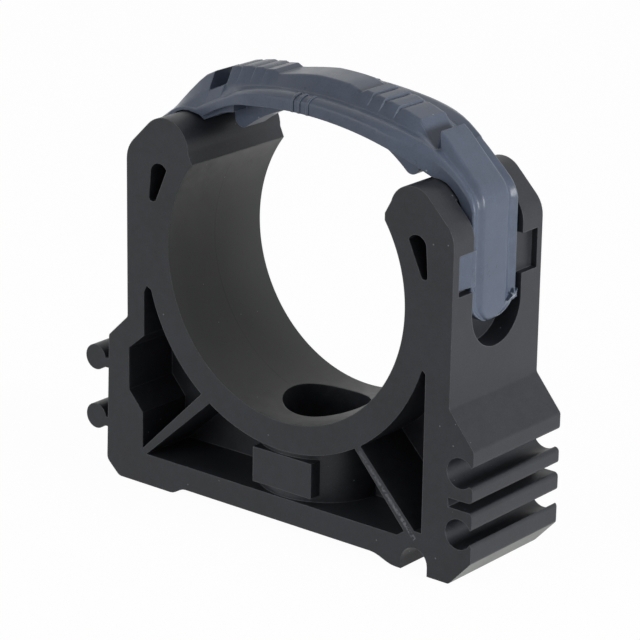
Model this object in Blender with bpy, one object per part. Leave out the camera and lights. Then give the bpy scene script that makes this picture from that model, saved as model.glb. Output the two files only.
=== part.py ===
"""Clip that holds a 63 mm pipe to a wall or rail.

Two mouldings: a black base with an open cradle between two posts, and a blue-grey strap that is hinged in the
left post and snaps into the right one. X runs across the clip, Y along the pipe, Z away from the mounting face.
"""
import math

import bmesh
import bpy
from mathutils import Vector

for item in list(bpy.data.objects):
    bpy.data.objects.remove(item, do_unlink=True)

mm = 0.001

# Pipe, cradle and posts. Heights and distances are measured from the pipe's axis.
pipe_diameter = 63.0 * mm
bore_radius = pipe_diameter / 2
body_width = 30.1 * mm
cradle_wall = 6.4 * mm
ear_cradle_wall = 4.9 * mm
post_half_span = 43.24 * mm
mouth_angle_left = 37.6
mouth_angle_right = 34.5
bore_step_angle = 3.0

# Ears: a round top on a 45 degree flank
ear_left_x = 32.5 * mm
ear_left_z = 21.5 * mm
ear_left_radius = 6.5 * mm
ear_right_x = 32.8 * mm
ear_right_z = 20.7 * mm
ear_right_radius = 5.5 * mm
flank_angle = 45.0
flank_kink_left = 2.1 * mm
flank_kink_drop_left = 4.5 * mm
nose_right_height = 1.5 * mm
ear_arc_steps = 14

# Windows cored into the ears from both faces
slot_depth = 4.94 * mm
slot_wall = 1.3 * mm
window_left_top = 17.9 * mm
window_left_bottom = 9.3 * mm
window_right_top = 16.4 * mm
window_right_bottom = 7.5 * mm
window_round = 2.4 * mm

# Strap slots in the posts' outer faces
slot_half_width = 8.3 * mm
slot_bottom_centre = -0.1 * mm
notch_low = 4.8 * mm
notch_high = 13.3 * mm
notch_depth = 2.1 * mm
notch_reach_front = 13.0 * mm
notch_reach_rear = 13.5 * mm

# Lower body
flare_top = 18.1 * mm
wall_right = 49.6 * mm
wall_right_top = 25.7 * mm
wall_left_upper = 48.7 * mm
wall_left_top = 23.4 * mm
wall_left_lower = 49.5 * mm
foot_depth = 55.6 * mm
chamfer_left_width = 3.5 * mm
chamfer_left_height = 3.2 * mm
chamfer_right_width = 5.3 * mm
chamfer_right_height = 5.7 * mm
relief_height = 1.65 * mm
foot_left_inner = 31.0 * mm
relief_ramp_left = 4.3 * mm
foot_right_inner = 30.7 * mm
relief_ramp_right = 6.7 * mm
groove_inner = 32.1 * mm
groove_width = 6.65 * mm
groove_depth = 5.4 * mm
groove_steps = 12

# Pockets cored from both faces, to a web at mid width
web_thickness = 2.0 * mm
side_wall_left = 38.5 * mm
side_wall_left_low = 42.9 * mm
pocket_left_tip = 9.9 * mm
pocket_left_knee = 21.4 * mm
pocket_left_belly_top = 25.1 * mm
pocket_left_belly_bottom = 34.7 * mm
pocket_left_ankle = 39.1 * mm
pocket_left_heel_x = 39.0 * mm
pocket_left_heel = 47.4 * mm
rib_left_top_x = 22.5 * mm
rib_left_top_z = 31.1 * mm
rib_left_under_x = 20.3 * mm
rib_left_under_z = 32.7 * mm
pocket_floor = 48.5 * mm
pocket_floor_left = 37.9 * mm
pocket_floor_right = 30.9 * mm
pocket_corner_right = 32.7 * mm
pocket_corner_height = 1.3 * mm
rib_right_under_x = 19.4 * mm
rib_right_under_z = 32.4 * mm
rib_right_top_x = 20.4 * mm
rib_right_top_z = 31.1 * mm
pocket_right_tip = 11.4 * mm
side_wall_right = 37.1 * mm
pocket_right_heel = 46.5 * mm
pocket_right_heel_x = 35.3 * mm
pocket_tip_round = 0.8 * mm

# Bolt boss
boss_radius = 14.5 * mm
counterbore_radius = 9.4 * mm
counterbore_floor = 48.5 * mm
bolt_hole_radius = 3.4 * mm
plate_width = 15.8 * mm
plate_centre = 0.2 * mm
plate_top = 38.95 * mm
plate_bottom = 46.8 * mm

# Chain of keyholes on the right, round ribs on the left
keyhole_radius = 3.25 * mm
keyhole_upper = 31.0 * mm
keyhole_lower = 44.2 * mm
keyhole_upper_mouth = 31.4 * mm
keyhole_upper_mouth_width = 4.0 * mm
keyhole_lower_mouth = 44.25 * mm
keyhole_lower_mouth_width = 2.7 * mm
relief_slot_centre = 37.9 * mm
relief_slot_width = 2.0 * mm
relief_slot_depth = 6.0 * mm
rib_head_radius = 2.85 * mm
rib_head_reach = 3.15 * mm
rib_upper = 29.5 * mm
rib_lower = 43.2 * mm
rib_neck_width = 2.1 * mm
rib_neck_drop = 0.65 * mm
round_steps = 28

# Strap: arched band with two rails, a grip block and two tongues
strap_width = 24.0 * mm
rail_arc_radius = 91.4 * mm
rail_crown = 34.6 * mm
rail_thickness = 3.2 * mm
rail_face_height = 2.7 * mm
bead_height = 3.4 * mm
bead_inset = 2.3 * mm
valley_height = 3.7 * mm
valley_half_width = 8.0 * mm
block_height = 6.25 * mm
block_half_width = 4.0 * mm
underside_height = 1.9 * mm
rib_half_width = 3.0 * mm
rib_inner_radius = 32.8 * mm
rib_left_end = 23.4 * mm
rib_right_end = 25.3 * mm
rib_left_tip = 25.6 * mm
rib_right_tip = 24.4 * mm
rib_tip_round = 1.6 * mm
strap_taper_start = 25.0 * mm
strap_taper_end = 31.5 * mm
tongue_half_width = 7.3 * mm
tongue_thickness = 3.2 * mm
tongue_recess = 0.74 * mm
tongue_round = 2.2 * mm
tongue_end = 3.0 * mm
tongue_end_round = 6.6 * mm
tab_thickness_left = 2.5 * mm
tab_thickness_right = 3.35 * mm
tab_top_left = 27.6 * mm
tab_top_right = 28.3 * mm
tab_shoulder_drop = 3.3 * mm
block_left = 25.4 * mm
block_right = 27.3 * mm
gap_depth = 3.0 * mm
grip_left_places = (19.9 * mm, 17.0 * mm, 14.0 * mm, 10.8 * mm)
grip_left_rises = (1.0 * mm, 0.9 * mm, 0.55 * mm, 0.0 * mm)
grip_step = 0.9 * mm
grip_scoop = 0.7 * mm
grip_scoop_end = 3.0 * mm
grip_right_places = (18.1 * mm, 21.7 * mm)
grip_right_dip = 0.5 * mm
block_end_drop = 2.2 * mm
block_end_length = 3.2 * mm
lug_reach = 12.4 * mm
lug_low = 5.5 * mm
lug_high = 13.0 * mm
hinge_height = 13.0 * mm
seat_gap = 0.3 * mm
station_step = 1.0 * mm

# Shared by all cuts
overrun = 2.0 * mm
skin = 0.02 * mm

# Worked out from the sizes above
half_width = body_width / 2
slot_floor = post_half_span - slot_depth
window_side = slot_floor - slot_wall
cradle_radius = bore_radius + cradle_wall
ear_cradle_radius = bore_radius + ear_cradle_wall
tongue_face = post_half_span - tongue_recess
tongue_back = tongue_face - tongue_thickness
pivot_x = -(tongue_face - tongue_thickness / 2)
pivot_z = hinge_height
pivot_radius = tongue_thickness / 2
rail_arc_centre = rail_crown - rail_arc_radius
strap_half_width = strap_width / 2
rib_reach = wall_left_lower + rib_head_reach + rib_head_radius
centre_shift = (rib_reach - wall_right) / 2
strap_ceiling = rail_crown + block_height + overrun


def arc(centre_x, centre_z, radius, start, end, steps):
    """Points along a circle in the XZ plane, angles in degrees from +X towards +Z."""
    points = []
    for i in range(steps + 1):
        angle = math.radians(start + (end - start) * i / steps)
        points.append((centre_x + radius * math.cos(angle), centre_z + radius * math.sin(angle)))
    return points


def finish_mesh(name, mesh_data):
    bmesh.ops.remove_doubles(mesh_data, verts=mesh_data.verts, dist=skin / 10)
    bmesh.ops.recalc_face_normals(mesh_data, faces=mesh_data.faces)
    if mesh_data.calc_volume(signed=True) < 0:
        bmesh.ops.reverse_faces(mesh_data, faces=mesh_data.faces)
    mesh = bpy.data.meshes.new(name)
    mesh_data.to_mesh(mesh)
    mesh_data.free()
    obj = bpy.data.objects.new(name, mesh)
    bpy.context.scene.collection.objects.link(obj)
    return obj


def prism(name, outline, low, high, axis="Y"):
    """Outline extruded along one axis: XZ points along Y, YZ points along X, or XY points along Z."""
    place = {
        "Y": lambda a, b, c: (a, c, b),
        "X": lambda a, b, c: (c, a, b),
        "Z": lambda a, b, c: (a, b, c),
    }[axis]
    mesh_data = bmesh.new()
    lower = [mesh_data.verts.new(place(a, b, low)) for a, b in outline]
    upper = [mesh_data.verts.new(place(a, b, high)) for a, b in outline]
    mesh_data.faces.new(lower)
    mesh_data.faces.new(list(reversed(upper)))
    for i in range(len(outline)):
        j = (i + 1) % len(outline)
        mesh_data.faces.new((lower[j], lower[i], upper[i], upper[j]))
    return finish_mesh(name, mesh_data)


def box(name, x_range, y_range, z_range):
    outline = [
        (x_range[0], z_range[0]),
        (x_range[1], z_range[0]),
        (x_range[1], z_range[1]),
        (x_range[0], z_range[1]),
    ]
    return prism(name, outline, y_range[0], y_range[1])


def cylinder(name, centre, radius, low, high, axis, steps=round_steps * 2):
    outline = arc(centre[0], centre[1], radius, 0, 360, steps)[:-1]
    return prism(name, outline, low, high, axis)


def loft(name, rings):
    """Closed solid through rings of equal point counts."""
    mesh_data = bmesh.new()
    rows = [[mesh_data.verts.new(point) for point in ring] for ring in rings]
    mesh_data.faces.new(rows[0])
    mesh_data.faces.new(list(reversed(rows[-1])))
    for first, second in zip(rows, rows[1:]):
        for i in range(len(first)):
            j = (i + 1) % len(first)
            mesh_data.faces.new((first[j], first[i], second[i], second[j]))
    bmesh.ops.triangulate(mesh_data, faces=mesh_data.faces)
    return finish_mesh(name, mesh_data)


def combine(target, tool, operation):
    """Boolean of two closed solids, kept as plain mesh on the first one."""
    modifier = target.modifiers.new(tool.name, "BOOLEAN")
    modifier.operation = operation
    modifier.object = tool
    modifier.solver = "EXACT"
    view = bpy.context.evaluated_depsgraph_get()
    view.update()
    result = bpy.data.meshes.new_from_object(target.evaluated_get(view))
    target.modifiers.clear()
    target.data = result
    bpy.data.objects.remove(tool, do_unlink=True)


def cut(target, tool):
    combine(target, tool, "DIFFERENCE")


def join(target, tool):
    combine(target, tool, "UNION")


def keep(target, tool):
    combine(target, tool, "INTERSECT")


def on_circle(radius, angle):
    return radius * math.cos(math.radians(angle)), radius * math.sin(math.radians(angle))


def flank_point(centre_x, centre_z, radius, x):
    """Point at distance x on the flank that leaves a round top at the flank angle."""
    touch_x = centre_x + radius * math.cos(math.radians(90 - flank_angle))
    touch_z = centre_z + radius * math.sin(math.radians(90 - flank_angle))
    return x, touch_z - (x - touch_x) * math.tan(math.radians(flank_angle))


def left_side(points):
    return [(-x, z) for x, z in points]


# Base


def right_wall_outline():
    """Right side from the shoulder of the post down to the foot pad."""
    shoulder = flank_point(ear_right_x, ear_right_z, ear_right_radius, post_half_span)
    groove_radius = groove_width / 2
    groove_centre = groove_inner + groove_radius
    groove_top = -foot_depth + groove_depth - groove_radius
    points = [shoulder, (post_half_span, -flare_top), (wall_right, -wall_right_top)]
    points.append((wall_right, -foot_depth + chamfer_right_height))
    points.append((wall_right - chamfer_right_width, -foot_depth))
    points.append((groove_inner + groove_width, -foot_depth))
    points += arc(groove_centre, groove_top, groove_radius, 0, 180, groove_steps)
    points.append((groove_inner, -foot_depth))
    points.append((foot_right_inner, -foot_depth))
    return points


def left_wall_outline():
    """Left side from the foot up to the shoulder of the post."""
    kink_x = post_half_span - flank_kink_left
    kink = flank_point(ear_left_x, ear_left_z, ear_left_radius, kink_x)
    points = [
        (foot_left_inner, -foot_depth),
        (wall_left_lower - chamfer_left_width, -foot_depth),
        (wall_left_lower, -foot_depth + chamfer_left_height),
        (wall_left_upper, -wall_left_top),
        (post_half_span, -flare_top),
        (post_half_span, kink[1] - flank_kink_drop_left),
        kink,
    ]
    return left_side(points)


def relief_outline():
    """Recessed underside between the feet, with a soft ramp at each end."""
    steps = groove_steps // 2
    points = []
    for i in range(steps + 1):
        share = i / steps
        rise = relief_height * (1 - math.cos(math.pi * share)) / 2
        points.append((foot_right_inner - relief_ramp_right * share, -foot_depth + rise))
    for i in range(steps + 1):
        share = i / steps
        rise = relief_height * (1 + math.cos(math.pi * share)) / 2
        points.append((-foot_left_inner + relief_ramp_left * (1 - share), -foot_depth + rise))
    return points[1:-1]


def base_outline():
    """Outline of the whole front face, clockwise from the right nose."""
    outline = [on_circle(bore_radius, mouth_angle_right)]
    nose_x = outline[0][0]
    outline.append((nose_x, outline[0][1] + nose_right_height))
    outline += arc(ear_right_x, ear_right_z, ear_right_radius, 165, 90 - flank_angle, ear_arc_steps)
    outline += right_wall_outline()
    outline += relief_outline()
    outline += left_wall_outline()
    outline += arc(-ear_left_x, ear_left_z, ear_left_radius, 90 + flank_angle, 0, ear_arc_steps)
    start = 180 - mouth_angle_left
    end = 360 + mouth_angle_right
    steps = round((end - start) / bore_step_angle)
    outline += arc(0, 0, bore_radius, start, end, steps)[:-1]
    return outline


def line_meets_ring(x1, z1, x2, z2, radius):
    """Angle of the point where the line through two points meets a circle about the axis, nearest the first."""
    dx = x2 - x1
    dz = z2 - z1
    a = dx * dx + dz * dz
    b = 2 * (x1 * dx + z1 * dz)
    c = x1 * x1 + z1 * z1 - radius * radius
    root = math.sqrt(max(b * b - 4 * a * c, 0))
    hits = [(-b - root) / (2 * a), (-b + root) / (2 * a)]
    t = min(hits, key=abs)
    return math.degrees(math.atan2(z1 + t * dz, x1 + t * dx))


def pocket_left():
    tip_x = -side_wall_left
    rib = (-rib_left_top_x, -rib_left_top_z, -pocket_left_heel_x, -pocket_left_heel)
    low = line_meets_ring(*rib, cradle_radius)
    high = math.degrees(math.atan2(-pocket_left_tip - pocket_tip_round, tip_x + 2 * pocket_tip_round))
    points = arc(0, 0, cradle_radius, low % 360, high % 360, ear_arc_steps)
    points.append((tip_x + pocket_tip_round, -pocket_left_tip))
    points.append((tip_x, -pocket_left_tip - 2 * pocket_tip_round))
    points.append((tip_x, -pocket_left_knee))
    points.append((-side_wall_left_low, -pocket_left_belly_top))
    points.append((-side_wall_left_low, -pocket_left_belly_bottom))
    points.append((-pocket_left_heel_x, -pocket_left_ankle))
    points.append((-pocket_left_heel_x, -pocket_left_heel))
    return points


def pocket_right():
    rib = (rib_right_top_x, -rib_right_top_z, pocket_right_heel_x, -pocket_right_heel)
    low = line_meets_ring(*rib, cradle_radius)
    points = arc(0, 0, cradle_radius, low, math.degrees(math.asin(-(pocket_right_tip + pocket_tip_round) / cradle_radius)), ear_arc_steps)
    points = [(x, z) for x, z in points if x < side_wall_right - pocket_tip_round]
    points.append((side_wall_right - pocket_tip_round, -pocket_right_tip))
    points.append((side_wall_right, -pocket_right_tip - pocket_tip_round))
    points.append((side_wall_right, -pocket_right_heel))
    points.append((pocket_right_heel_x, -pocket_right_heel))
    return points


def pocket_bottom():
    left = (-rib_left_under_x, -rib_left_under_z, -pocket_floor_left, -pocket_floor)
    corner = (pocket_corner_right, -pocket_floor + pocket_corner_height)
    right = (rib_right_under_x, -rib_right_under_z, corner[0], corner[1])
    start = line_meets_ring(*left, cradle_radius) % 360
    end = line_meets_ring(*right, cradle_radius) % 360
    points = arc(0, 0, cradle_radius, start, end, ear_arc_steps * 2)
    points.append(corner)
    points.append((pocket_floor_right, -pocket_floor))
    points.append((-pocket_floor_left, -pocket_floor))
    return points


def window(side_x, top, bottom):
    """Teardrop between the cradle's wall and the slot's wall, round at the top."""
    centre_x = side_x - window_round
    centre_z = top - window_round
    points = arc(centre_x, centre_z, window_round, 0, 150, ear_arc_steps)
    high = math.degrees(math.asin((centre_z - window_round / 2) / ear_cradle_radius))
    low = math.degrees(math.asin((bottom + pocket_tip_round) / ear_cradle_radius))
    points += arc(0, 0, ear_cradle_radius, high, low, ear_arc_steps // 2)
    points.append((side_x, bottom))
    return points


def cored(outline, name):
    """The same pocket from the front face and from the rear face."""
    front = prism(name + "_front", outline, -half_width - overrun, -web_thickness / 2)
    rear = prism(name + "_rear", outline, web_thickness / 2, half_width + overrun)
    return front, rear


def slot_outline():
    top = ear_left_z + ear_left_radius + overrun
    points = [(slot_half_width, top), (-slot_half_width, top)]
    points += arc(0, slot_bottom_centre, slot_half_width, 180, 360, round_steps)
    return points


def build_base():
    base = prism("base", base_outline(), -half_width, half_width)

    for side, centre in ((-1, rib_upper), (-1, rib_lower)):
        head_x = -(wall_left_lower + rib_head_reach)
        head = cylinder("head", (head_x, -centre), rib_head_radius, -half_width, half_width, "Y", round_steps)
        join(base, head)
        neck_z = -centre - rib_neck_drop
        half_neck = rib_neck_width / 2
        neck = box("neck", (head_x, -wall_left_upper + overrun), (-half_width, half_width),
                   (neck_z - half_neck, neck_z + half_neck))
        join(base, neck)

    for tool in cored(pocket_left(), "pocket_left") + cored(pocket_right(), "pocket_right"):
        cut(base, tool)
    for tool in cored(pocket_bottom(), "pocket_bottom"):
        boss = cylinder("boss", (0, 0), boss_radius, -foot_depth, 0, "Z", round_steps * 2)
        cut(tool, boss)
        plate_left = plate_centre - plate_width / 2
        plate_right = plate_centre + plate_width / 2
        plate = box("plate", (plate_left, plate_right), (-half_width, half_width), (-plate_bottom, -plate_top))
        if tool.name.startswith("pocket_bottom_front"):
            cut(tool, plate)
        else:
            bpy.data.objects.remove(plate, do_unlink=True)
        cut(base, tool)
    for tool in cored(left_side(window(window_side, window_left_top, window_left_bottom)), "window_left"):
        cut(base, tool)
    for tool in cored(window(window_side, window_right_top, window_right_bottom), "window_right"):
        cut(base, tool)

    counterbore = cylinder("counterbore", (0, 0), counterbore_radius, -counterbore_floor, 0, "Z")
    cut(base, counterbore)
    bolt_hole = cylinder("bolt_hole", (0, 0), bolt_hole_radius, -foot_depth - overrun, 0, "Z", round_steps)
    cut(base, bolt_hole)

    cut(base, prism("slot_right", slot_outline(), slot_floor, wall_right + overrun, "X"))
    cut(base, prism("slot_left", slot_outline(), -wall_right - overrun, -slot_floor, "X"))
    notch_back = post_half_span - notch_depth
    notch = box("notch", (notch_back, post_half_span + overrun), (-notch_reach_front, notch_reach_rear),
                (notch_low, notch_high))
    cut(base, notch)
    pivot_hole = pivot_radius + seat_gap
    outline = arc(pivot_x, pivot_z, pivot_hole, 90, -90, round_steps // 2)
    outline.append((-post_half_span - overrun, pivot_z - pivot_hole))
    outline.append((-post_half_span - overrun, pivot_z + pivot_hole))
    cut(base, prism("pivot_notch", outline, -notch_reach_front, notch_reach_front))

    keyholes = (
        (keyhole_upper, keyhole_upper_mouth, keyhole_upper_mouth_width),
        (keyhole_lower, keyhole_lower_mouth, keyhole_lower_mouth_width),
    )
    for centre, mouth, mouth_width in keyholes:
        centre_x = wall_right - keyhole_radius
        hole = cylinder("keyhole", (centre_x, -centre), keyhole_radius, -half_width - overrun, half_width + overrun,
                        "Y", round_steps)
        cut(base, hole)
        gate = box("mouth", (centre_x, wall_right + overrun), (-half_width - overrun, half_width + overrun),
                   (-mouth - mouth_width / 2, -mouth + mouth_width / 2))
        cut(base, gate)
    relief = box("relief_slot", (wall_right - relief_slot_depth, wall_right + overrun),
                 (-half_width - overrun, half_width + overrun),
                 (-relief_slot_centre - relief_slot_width / 2, -relief_slot_centre + relief_slot_width / 2))
    cut(base, relief)
    return base


# Strap


def rail_height(x, offset):
    """Height of the arc that runs an offset above the rails' lower edge."""
    radius = rail_arc_radius + offset
    return rail_arc_centre + math.sqrt(radius * radius - x * x)


def tab_line(x, ear_x, ear_z, ear_radius, thickness):
    """Top of the tab: the flank's slope, a thickness above it."""
    rise = thickness / math.cos(math.radians(flank_angle))
    return flank_point(ear_x, ear_z, ear_radius, x)[1] + rise


def block_top(x):
    """Top of the grip block, with its steps on the left and notches on the right."""
    plain = rail_height(x, block_height)
    edges = [-block_left] + [-place for place in grip_left_places]
    rises = [0.0] + list(grip_left_rises)
    for i in range(len(edges) - 1):
        if edges[i] <= x < edges[i + 1]:
            share = (x - edges[i]) / (edges[i + 1] - edges[i])
            start = rises[i] - (grip_step if i else 0.0)
            return plain + start + (rises[i + 1] - start) * share
    if -grip_left_places[-1] <= x < -grip_scoop_end:
        share = (x + grip_left_places[-1]) / (grip_left_places[-1] - grip_scoop_end)
        return plain - grip_scoop * (1 - share)
    starts = [grip_right_places[0] - (grip_right_places[1] - grip_right_places[0])] + list(grip_right_places)
    for i in range(len(starts) - 1):
        if starts[i] <= x < starts[i + 1]:
            share = (x - starts[i]) / (starts[i + 1] - starts[i])
            return plain - grip_right_dip * share
    end = block_right - block_end_length
    if x > end:
        return plain - block_end_drop * ((x - end) / block_end_length) ** 2
    return plain


def top_heights(x):
    """Heights of the strap's top at its centre line, its valley, its bead and its face."""
    face = rail_height(x, rail_face_height)
    bead = rail_height(x, bead_height)
    valley = rail_height(x, valley_height)
    if -block_left <= x <= block_right:
        return block_top(x), valley, bead, face
    floor = rail_height(x, block_height - gap_depth)
    if x > tab_top_right:
        top = tab_line(x, ear_right_x, ear_right_z, ear_right_radius, tab_thickness_right)
    elif x < -tab_top_left:
        top = tab_line(-x, ear_left_x, ear_left_z, ear_left_radius, tab_thickness_left)
        top = min(top, rail_height(x, block_height))
    else:
        return floor, min(floor, valley), bead, face
    shoulder = min(valley, top - tab_shoulder_drop)
    return top, shoulder, min(bead, shoulder), min(face, shoulder)


def strap_stations():
    """Places along the strap, doubled where its top steps."""
    steps = [-tab_top_left, -block_left, block_right, tab_top_right]
    steps += [-place for place in grip_left_places] + list(grip_right_places)
    places = []
    reach = tongue_face + overrun
    count = round(2 * reach / station_step)
    for i in range(count + 1):
        x = -reach + 2 * reach * i / count
        if all(abs(x - place) > station_step / 3 for place in steps):
            places.append(x)
    for place in steps:
        places.append(place - skin)
        places.append(place + skin)
    return sorted(places)


def strap_top():
    rings = []
    low = -foot_depth
    bead_y = strap_half_width - bead_inset
    for x in strap_stations():
        top, valley, bead, face = top_heights(x)
        half = [(block_half_width, top), (valley_half_width, valley), (bead_y, bead), (strap_half_width, face)]
        right = [(y, z) for y, z in half] + [(strap_half_width, low)]
        ring = [(x, y, z) for y, z in right] + [(x, -y, z) for y, z in reversed(right)]
        rings.append(ring)
    return loft("strap", rings)


def rail_arc(left, right, offset, steps):
    """Arc above the rails' lower edge, between two places across the clip."""
    start = 90 + math.degrees(math.asin(left / rail_arc_radius))
    end = 90 - math.degrees(math.asin(right / rail_arc_radius))
    return arc(0, rail_arc_centre, rail_arc_radius + offset, start, end, steps)


def strap_side_outline():
    """Side view of the strap: grip rib inside the arch, then over each ear to the hinge and the free tongue."""
    right_radius = ear_right_radius + seat_gap
    left_radius = ear_left_radius + seat_gap
    angle = 90 - flank_angle
    left = [(tongue_face, strap_ceiling)]
    left += arc(-pivot_x, pivot_z, pivot_radius, 360, 180, round_steps // 2)
    left.append(flank_point(ear_left_x, ear_left_z, left_radius, tongue_back))
    left += arc(ear_left_x, ear_left_z, left_radius, angle, 120, ear_arc_steps)
    left.append((rib_left_end, rail_height(rib_left_end, 0)))
    left.append((rib_left_end, rib_left_tip))
    outline = left_side(left)
    left_angle = math.degrees(math.acos(-(rib_left_end - rib_tip_round) / rib_inner_radius))
    right_angle = math.degrees(math.acos((rib_right_end - rib_tip_round) / rib_inner_radius))
    outline += arc(0, 0, rib_inner_radius, left_angle, right_angle, ear_arc_steps * 2)
    outline.append((rib_right_end, rib_right_tip))
    outline.append((rib_right_end, rail_height(rib_right_end, 0)))
    outline += arc(ear_right_x, ear_right_z, right_radius, 120, angle, ear_arc_steps)
    outline.append(flank_point(ear_right_x, ear_right_z, right_radius, tongue_back))
    outline += [(tongue_back, -tongue_end), (tongue_face, -tongue_end), (tongue_face, strap_ceiling)]
    return outline


def strap_plan_outline():
    """Width of the strap seen from above: it narrows to the tongues over the ears."""
    steps = ear_arc_steps // 2
    quarter = []
    for i in range(steps + 1):
        share = i / steps
        ease = (1 - math.cos(math.pi * share)) / 2
        x = strap_taper_start + (strap_taper_end - strap_taper_start) * share
        quarter.append((x, strap_half_width + (tongue_half_width - strap_half_width) * ease))
    corner_x = tongue_face - tongue_round
    corner_y = tongue_half_width - tongue_round
    for i in range(steps + 1):
        angle = math.radians(90 - 90 * i / steps)
        quarter.append((corner_x + tongue_round * math.cos(angle), corner_y + tongue_round * math.sin(angle)))
    outline = list(quarter)
    outline += [(x, -y) for x, y in reversed(quarter)]
    outline += [(-x, -y) for x, y in quarter]
    outline += [(-x, y) for x, y in reversed(quarter)]
    return outline


def build_strap():
    strap = strap_top()
    keep(strap, prism("side", strap_side_outline(), -strap_width, strap_width))
    keep(strap, prism("plan", strap_plan_outline(), -foot_depth, strap_ceiling + overrun, "Z"))

    inner = strap_half_width - rail_thickness
    outer = strap_half_width + overrun
    under_rails = rail_arc(rib_left_end, rib_right_end, 0, ear_arc_steps * 2) + [(rib_right_end, 0), (-rib_left_end, 0)]
    under_shell = rail_arc(rib_left_end, rib_left_end, underside_height, ear_arc_steps * 2)
    under_shell += [(rib_left_end, 0), (-rib_left_end, 0)]
    for side in (-1, 1):
        low, high = sorted((side * rib_half_width, side * outer))
        cut(strap, prism("under_rails", under_rails, low, high))
        low, high = sorted((side * rib_half_width, side * inner))
        cut(strap, prism("under_shell", under_shell, low, high))

    round_z = -tongue_end + tongue_end_round
    end = [(tongue_half_width, round_z + overrun), (-tongue_half_width, round_z + overrun)]
    for y, z in arc(0, 0, tongue_half_width, 180, 360, round_steps):
        end.append((y, round_z + z * tongue_end_round / tongue_half_width))
    tip = prism("tip", end, tongue_back - 2 * overrun, tongue_face + 2 * overrun, "X")
    free = box("free", (tongue_back - overrun, tongue_face + overrun),
               (-tongue_half_width - overrun, tongue_half_width + overrun), (-tongue_end - overrun, round_z))
    cut(free, tip)
    cut(strap, free)

    notch_back = post_half_span - notch_depth
    lug = box("lug", (notch_back + seat_gap, tongue_face), (-lug_reach, lug_reach), (lug_low, lug_high))
    join(strap, lug)
    pin = cylinder("pin", (pivot_x, pivot_z), pivot_radius, -lug_reach, lug_reach, "Y", round_steps)
    join(strap, pin)
    return strap


def plastic(name, colour, roughness):
    material = bpy.data.materials.new(name)
    material.use_nodes = True
    shader = material.node_tree.nodes["Principled BSDF"]
    shader.inputs["Base Color"].default_value = (*colour, 1)
    shader.inputs["Roughness"].default_value = roughness
    shader.inputs["Metallic"].default_value = 0
    return material


def shade(obj, material):
    obj.data.materials.clear()
    obj.data.materials.append(material)
    obj.data.shade_smooth()
    obj.data.set_sharp_from_angle(angle=math.radians(30))


def move_origin(obj, place):
    """Shift the object's own origin without moving its mesh."""
    for vertex in obj.data.vertices:
        vertex.co -= place
    obj.location = place


base = build_base()
strap = build_strap()
shade(base, plastic("black_plastic", (0.045, 0.046, 0.05), 0.5))
shade(strap, plastic("blue_grey_plastic", (0.11, 0.135, 0.17), 0.42))

# The clip stands on its feet, with the middle of its outline over the origin.
lift = Vector((centre_shift, 0, foot_depth))
for obj in (base, strap):
    for vertex in obj.data.vertices:
        vertex.co += lift
move_origin(strap, Vector((pivot_x, 0, pivot_z)) + lift)
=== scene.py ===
"""Looks of the pipe clip: black moulded base, blue-grey moulded strap, pale studio floor."""

import math

import bmesh
import bpy
from mathutils import Matrix, Vector


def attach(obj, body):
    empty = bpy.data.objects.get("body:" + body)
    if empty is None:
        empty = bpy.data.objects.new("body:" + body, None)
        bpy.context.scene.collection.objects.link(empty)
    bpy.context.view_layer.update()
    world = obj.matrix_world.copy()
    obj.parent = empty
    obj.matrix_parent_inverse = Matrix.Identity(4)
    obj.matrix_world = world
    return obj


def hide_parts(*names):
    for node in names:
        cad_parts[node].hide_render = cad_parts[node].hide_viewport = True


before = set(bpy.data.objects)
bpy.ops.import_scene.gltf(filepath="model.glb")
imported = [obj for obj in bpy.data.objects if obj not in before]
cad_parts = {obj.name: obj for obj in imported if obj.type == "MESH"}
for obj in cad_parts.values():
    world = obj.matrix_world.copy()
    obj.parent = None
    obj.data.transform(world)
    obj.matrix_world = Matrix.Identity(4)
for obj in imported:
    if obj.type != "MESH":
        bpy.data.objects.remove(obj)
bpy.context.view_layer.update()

mm = 0.001

# Camera: where the photograph was taken from, seen from the pipe's axis
camera_lens = 176.37
camera_sensor = 36
camera_azimuth = 38.71
camera_elevation = 18.92
camera_roll = 0.90
camera_distance = 655.17 * mm
camera_right = 1.88 * mm
camera_up = 12.23 * mm

# Pipe, cradle and posts. Heights and distances are measured from the pipe's axis.
pipe_diameter = 63.0 * mm
bore_radius = pipe_diameter / 2
body_width = 30.1 * mm
cradle_wall = 6.4 * mm
ear_cradle_wall = 4.9 * mm
post_wall = 11.74 * mm
post_half_span = bore_radius + post_wall
mouth_angle_left = 37.6
mouth_angle_right = 34.5
bore_step_angle = 2.0

# Ears: a round top on a 45 degree flank
ear_left_inset = 10.74 * mm
ear_left_x = post_half_span - ear_left_inset
ear_left_z = 21.5 * mm
ear_left_radius = 6.5 * mm
ear_right_inset = 10.44 * mm
ear_right_x = post_half_span - ear_right_inset
ear_right_z = 20.7 * mm
ear_right_radius = 5.5 * mm
flank_angle = 45.0
shoulder_round = 6.5 * mm
nose_right_height = 1.5 * mm
nose_right_angle = 165
ear_arc_steps = 20
corner_steps = 6

# Windows cored into the ears from both faces
slot_depth = 4.94 * mm
slot_wall = 1.3 * mm
window_left_top = 17.9 * mm
window_left_bottom = 9.3 * mm
window_right_top = 16.4 * mm
window_right_bottom = 7.5 * mm
window_round = 2.4 * mm
window_round_angle = 150
window_slant = 0.5 * mm
window_foot_round = 0.9 * mm

# Strap slots in the posts' outer faces
slot_half_width = 8.3 * mm
slot_bottom_centre = -0.1 * mm
notch_low = 4.8 * mm
notch_high = 13.3 * mm
notch_depth = 2.1 * mm
notch_depth_rear = 1.5 * mm
notch_reach_front = 13.0 * mm
notch_reach_rear = 13.5 * mm

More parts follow.
